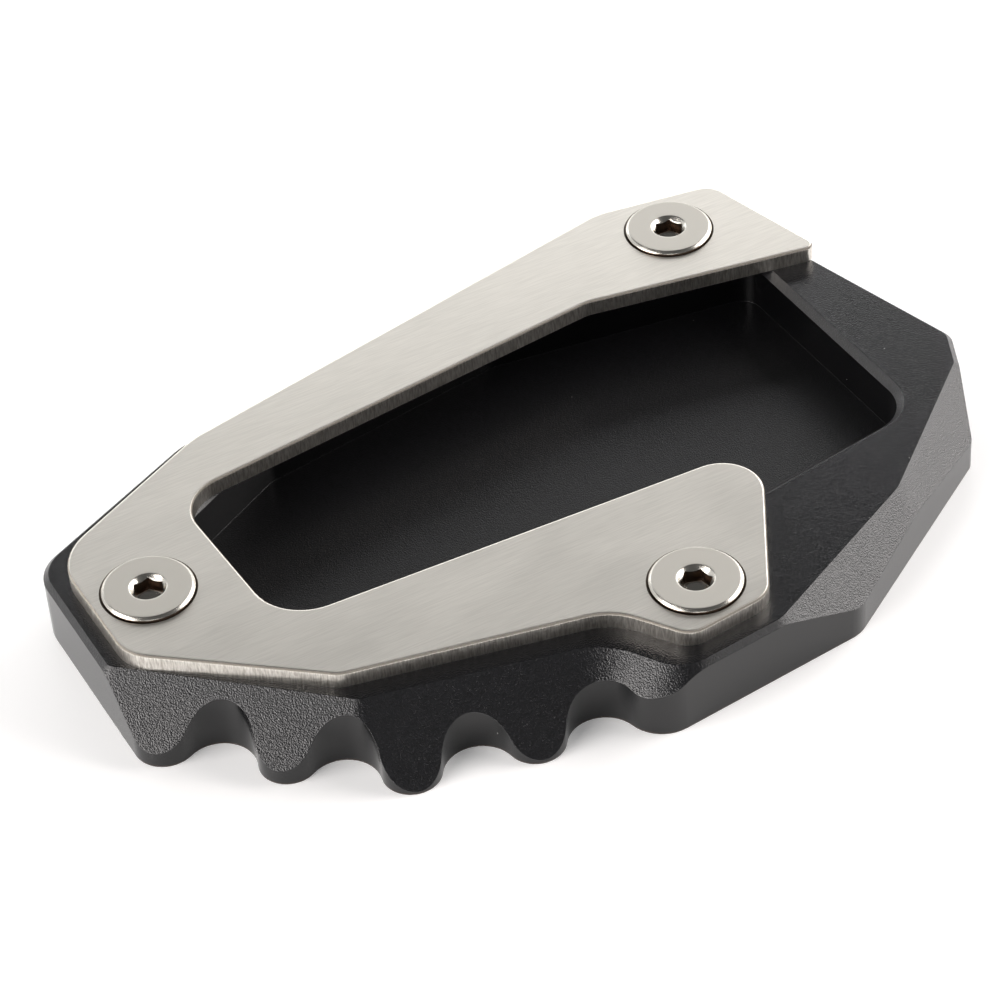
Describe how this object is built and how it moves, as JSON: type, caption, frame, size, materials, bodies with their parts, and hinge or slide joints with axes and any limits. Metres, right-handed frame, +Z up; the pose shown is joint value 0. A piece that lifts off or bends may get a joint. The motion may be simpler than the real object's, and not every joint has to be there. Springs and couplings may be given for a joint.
{
  "type": "kickstand foot enlarger",
  "caption": "Flat metal foot enlarger for a motorbike side stand: a scalloped base block with a foot pocket, a C-shaped clamp plate and countersunk screws.",
  "frame": {"origin": "centre of the bounding box, at the height of the flat underside that stands on the ground", "axes": "+Z up, out of the pocket; +X along the straight front wall, from the scalloped end towards the open end of the clamp plate; +Y from the scalloped front edge to the rear"},
  "size_m": [0.1041, 0.0686, 0.0103],
  "materials": {
    "anodised_aluminium": "bead-blasted and anodised black, fine grain",
    "brushed_stainless": "brushed along the long side, with deburred edges",
    "bright_steel": "nickel-plated, bright rim and socket"
  },
  "bodies": {
    "root": {"base": "anodised_aluminium", "clamp_plate": "brushed_stainless", "screw_left": "bright_steel", "screw_right": "bright_steel", "screw_front": "bright_steel"}
  },
  "joints": []
}
